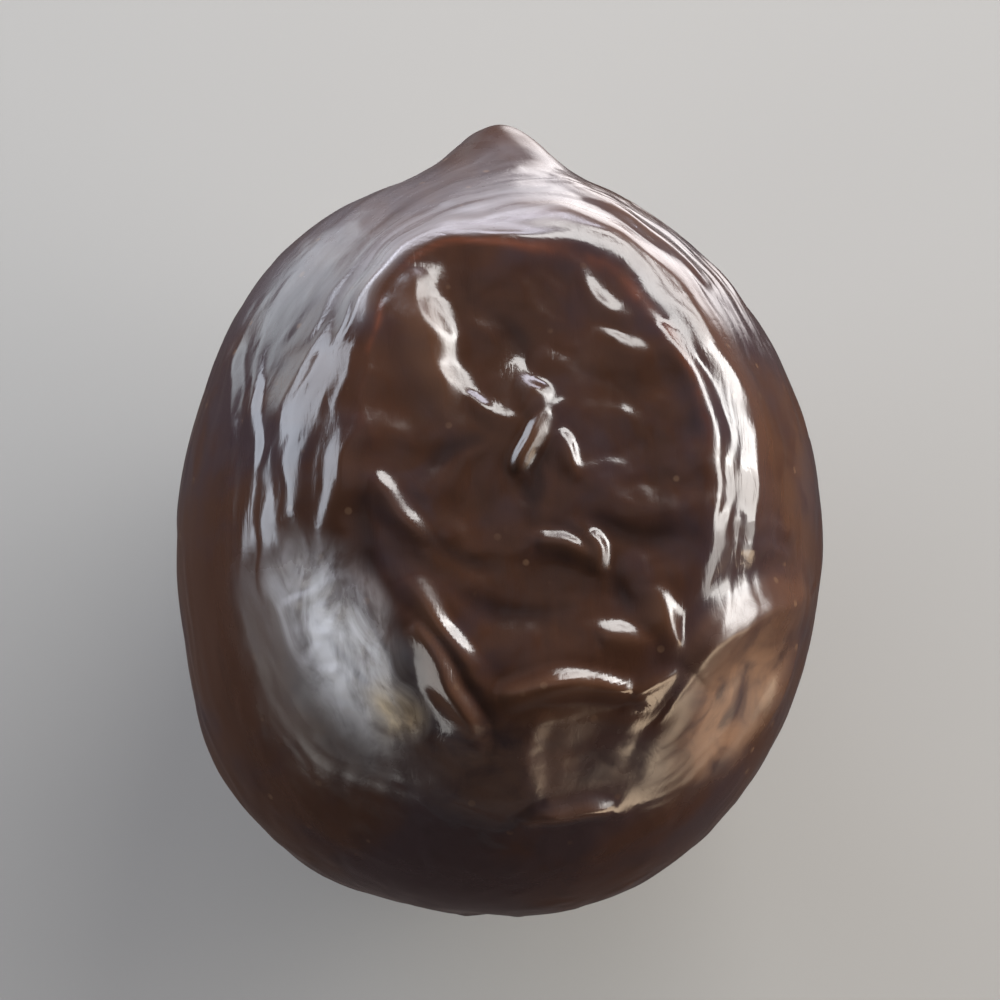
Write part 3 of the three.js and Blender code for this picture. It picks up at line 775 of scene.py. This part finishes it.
clad = Socket.node(wrinkling, "GeometryNodeSetMaterial", {}, {"Geometry": whole, "Material": given("Skin")})
wrinkling.links.new(clad.output, wrinkling.nodes.new("NodeGroupOutput").inputs["Geometry"])

olive = bpy.data.objects.new("olive_skin", skin_mesh)
bpy.context.scene.collection.objects.link(olive)
wrinkles = olive.modifiers.new("fine_wrinkles", "NODES")
wrinkles.node_group = wrinkling
for item in wrinkling.interface.items_tree:
    if item.name in WRINKLE_SIZES:
        wrinkles[item.identifier] = WRINKLE_SIZES[item.name]
    if item.name == "Skin":
        wrinkles[item.identifier] = skin
depsgraph = bpy.context.evaluated_depsgraph_get()
finished = bpy.data.meshes.new_from_object(olive.evaluated_get(depsgraph), preserve_all_data_layers=True,
                                           depsgraph=depsgraph)
olive.modifiers.clear()
olive.data = finished
for name in ("rim_skin", "flank_skin", "floor_skin", "crinkled"):
    finished.attributes.remove(finished.attributes[name])

# The finished skin fills the room that the frame gives the olive
room_low, room_high = (np.array(corner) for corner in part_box("olive"))
places = np.empty(len(finished.vertices) * 3)
finished.vertices.foreach_get("co", places)
places = places.reshape(-1, 3)
low, high = places.min(0), places.max(0)
places = room_low + (places - low) * (room_high - room_low) / (high - low)
finished.vertices.foreach_set("co", places.astype(np.float32).ravel())
finished.update()

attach(olive, "root")
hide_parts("olive")

# The floor: a plain pale sheet of matt paper, wide enough to fill the view. Far off it glows as bright as the
# room round it, so that no edge shows.
FLOOR_REACH = 6.0
PAPER_GREY = (0.42, 0.41, 0.395, 1)
FAR_PAPER = (0.93, 0.96, 1.0, 1)
GLOW_STRENGTH = 0.18
GLOW_FROM = 0.15
GLOW_WHOLE = 0.8
floor_mesh = bpy.data.meshes.new("floor")
floor_mesh.from_pydata(
    [(-FLOOR_REACH, -FLOOR_REACH, 0), (FLOOR_REACH, -FLOOR_REACH, 0),
     (FLOOR_REACH, FLOOR_REACH, 0), (-FLOOR_REACH, FLOOR_REACH, 0)], [], [(0, 1, 2, 3)])
floor = bpy.data.objects.new("floor", floor_mesh)
bpy.context.scene.collection.objects.link(floor)
paper = bpy.data.materials.new("pale_paper")
paper.use_nodes = True
matt = paper.node_tree.nodes["Principled BSDF"]
matt.inputs["Base Color"].default_value = PAPER_GREY
matt.inputs["Roughness"].default_value = 0.9
matt.inputs["Specular IOR Level"].default_value = 0.0
matt.inputs["Emission Strength"].default_value = GLOW_STRENGTH
spot = Socket.node(paper.node_tree, "ShaderNodeTexCoord", {}, {}, "Object")
distance = Socket.node(paper.node_tree, "ShaderNodeVectorMath", {"operation": "LENGTH"}, {0: spot}, "Value")
glow = distance.rise(GLOW_FROM, GLOW_WHOLE).between((0, 0, 0, 1), FAR_PAPER)
paper.node_tree.links.new(glow.output, matt.inputs["Emission Color"])
floor_mesh.materials.append(paper)
floor.visible_glossy = False

# The light: soft daylight from windows on both sides behind the olive, low light from its stem end, and a dim
# room. The oily skin mirrors each window as a streak.
CENTRE = Vector((0, 0.0006, 0.0088))


def seen_direction(right, up, out):
    """A direction given as the camera sees it, right, up and towards it."""
    return Vector(right * FACE_RIGHT + up * FACE_UP + out * FACE_OUT).normalized()


def soft_light(name, direction, distance, width, height, power, colour, roll=0):
    data = bpy.data.lights.new(name, "AREA")
    data.shape = "RECTANGLE"
    data.size = width
    data.size_y = height
    data.energy = power
    data.color = colour
    light = bpy.data.objects.new(name, data)
    light.location = CENTRE + direction * distance
    turned = Quaternion(direction, math.radians(roll)) @ (-direction).to_track_quat("-Z", "Y")
    light.rotation_euler = turned.to_euler()
    light.visible_camera = False
    bpy.context.scene.collection.objects.link(light)


# Each window's direction as the camera sees it, its distance, width and height in metres, power, colour and,
# for one, how far it is rolled
WINDOWS = {
    "left_window": ((-0.76, 0.60, 0.14), 0.30, 0.44, 0.15, 1.5, (0.80, 0.88, 1.0)),
    "right_window": ((0.55, 0.70, 0.30), 0.30, 0.34, 0.078, 1.12, (1.0, 0.99, 0.97), 20),
    "gap_window": ((0.64, 0.76, 0.04), 0.30, 0.11, 0.07, 0.27, (1.0, 0.99, 0.97)),
    "side_window": ((0.84, 0.38, 0.28), 0.30, 0.20, 0.09, 0.46, (1.0, 0.98, 0.95)),
    "low_side_window": ((0.92, 0.12, 0.30), 0.30, 0.19, 0.09, 0.35, (1.0, 0.96, 0.9)),
    "back_window": ((-0.1, 0.98, 0.02), 0.35, 0.34, 0.07, 0.9, (0.86, 0.86, 1.0)),
    "left_low_window": ((-0.83, -0.46, 0.30), 0.30, 0.17, 0.13, 0.26, (1.0, 0.98, 0.94)),
    "warm_fill": ((0.85, -0.50, 0.12), 0.30, 0.24, 0.10, 0.55, (1.0, 0.76, 0.52)),
}
for name, (direction, *sizes) in WINDOWS.items():
    soft_light(name, seen_direction(*direction), *sizes)

# The room is brighter low on its walls than higher up, with a soft light overhead. Two glows lie lower than
# the floor, and are seen only in the gloss, which the floor doesn't block: they light the steep shoulders.
WALL_FOOT = (0.186, 0.192, 0.2, 1)
WALL_TOP = (0.046, 0.048, 0.05, 1)
WALL_HEIGHTS = (-0.05, 0.55)
OVERHEAD_LIGHT = (0.20, 0.195, 0.21, 1)
OVERHEAD_DIRECTION = (-0.06, 0.44, 0.90)
OVERHEAD_EDGE = (0.90, 0.99)
UNDERFOOT = (0.098, 0.080, 0.077, 1)
FAR_GLOW = (4.0, 3.8, 3.8, 1)
FAR_GLOW_DIRECTION = (0.32, 0.56, -0.76)
FAR_GLOW_EDGE = (0.945, 0.975)
LEFT_GLOW = (2.0, 2.2, 2.35, 1)
LEFT_GLOW_DIRECTION = (-0.63, 0.58, -0.50)
LEFT_GLOW_EDGE = (0.935, 0.985)
HORIZON = (-0.02, 0.0)
world = bpy.data.worlds.new("room")
bpy.context.scene.world = world
world.use_nodes = True
room = world.node_tree
heading = Socket.node(room, "ShaderNodeTexCoord", {}, {}, "Generated")
upward = Socket.node(room, "ShaderNodeSeparateXYZ", {}, {"Vector": heading}, "Z")


def glow_at(direction, edge):
    """1 towards a direction that is given as the camera sees it, and 0 from the edge of the glow outwards."""
    nearness = Socket.node(room, "ShaderNodeVectorMath", {"operation": "DOT_PRODUCT"}, {
        0: heading, 1: seen_direction(*direction)}, "Value")
    return nearness.rise(*edge)


walls = upward.rise(*WALL_HEIGHTS).between(WALL_FOOT, WALL_TOP)
above = glow_at(OVERHEAD_DIRECTION, OVERHEAD_EDGE).between(walls, OVERHEAD_LIGHT)
below = glow_at(FAR_GLOW_DIRECTION, FAR_GLOW_EDGE).between(UNDERFOOT, FAR_GLOW)
below = glow_at(LEFT_GLOW_DIRECTION, LEFT_GLOW_EDGE).between(below, LEFT_GLOW)
seen = upward.rise(*HORIZON).between(below, above)
room.links.new(seen.output, room.nodes["Background"].inputs["Color"])
room.nodes["Background"].inputs["Strength"].default_value = 1.0

# The camera looks square onto the creased face, from far enough off to show it without distortion. Its view
# is half as wide again as the olive.
CAMERA_DISTANCE = 0.40
PICTURE_WIDTH = 0.030
SENSOR_WIDTH = 36
camera_data = bpy.data.cameras.new("camera")
camera_data.sensor_width = SENSOR_WIDTH
camera_data.lens = SENSOR_WIDTH * CAMERA_DISTANCE / PICTURE_WIDTH
camera_data.clip_start = 0.01
camera = bpy.data.objects.new("camera", camera_data)
out = Vector(FACE_OUT)
camera.location = CENTRE + out * CAMERA_DISTANCE
camera.rotation_euler = out.to_track_quat("Z", "Y").to_euler()
bpy.context.scene.collection.objects.link(camera)
bpy.context.scene.camera = camera
bpy.context.scene.view_settings.view_transform = "Standard"
